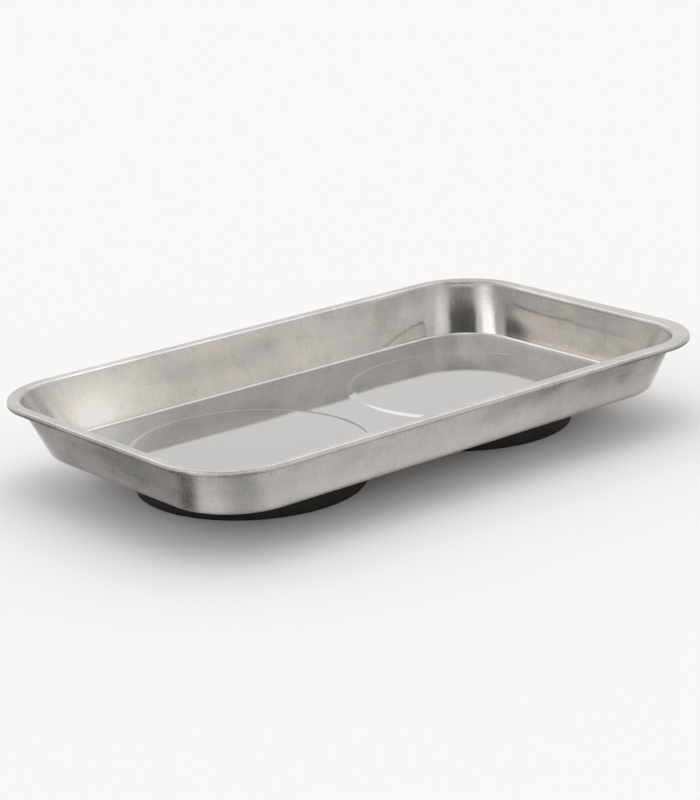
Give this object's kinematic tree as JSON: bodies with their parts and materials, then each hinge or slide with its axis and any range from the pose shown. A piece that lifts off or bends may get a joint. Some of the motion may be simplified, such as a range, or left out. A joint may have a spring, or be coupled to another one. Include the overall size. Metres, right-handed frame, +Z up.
{
  "type": "magnetic parts tray",
  "caption": "Rectangular pressed stainless tray with leaning walls, a turned-down rim and raised discs over rubber-booted magnet feet, for holding small steel parts.",
  "frame": {"origin": "on the surface that the feet stand on, below the middle of the tray", "axes": "+X along the tray's length, through both feet; +Y across it; +Z up, out of the tray's mouth"},
  "size_m": [0.24, 0.14, 0.0332],
  "materials": {
    "stainless": "satin, finely brushed, with a semi-bright floor",
    "boot_rubber": "black, satin moulded",
    "ferrite": "dark grey, sintered and ground",
    "plate_steel": "rolled mild steel",
    "plated_steel": "bright zinc plated",
    "nylon": "natural white"
  },
  "bodies": {
    "root": {"tray": "stainless", "left_boot": "boot_rubber", "right_boot": "boot_rubber", "left_magnet": "ferrite", "right_magnet": "ferrite", "left_pole_plate": "plate_steel", "right_pole_plate": "plate_steel", "weld_studs": "plated_steel", "washers": "plated_steel", "lock_nuts": "plated_steel", "lock_rings": "nylon"}
  },
  "joints": []
}
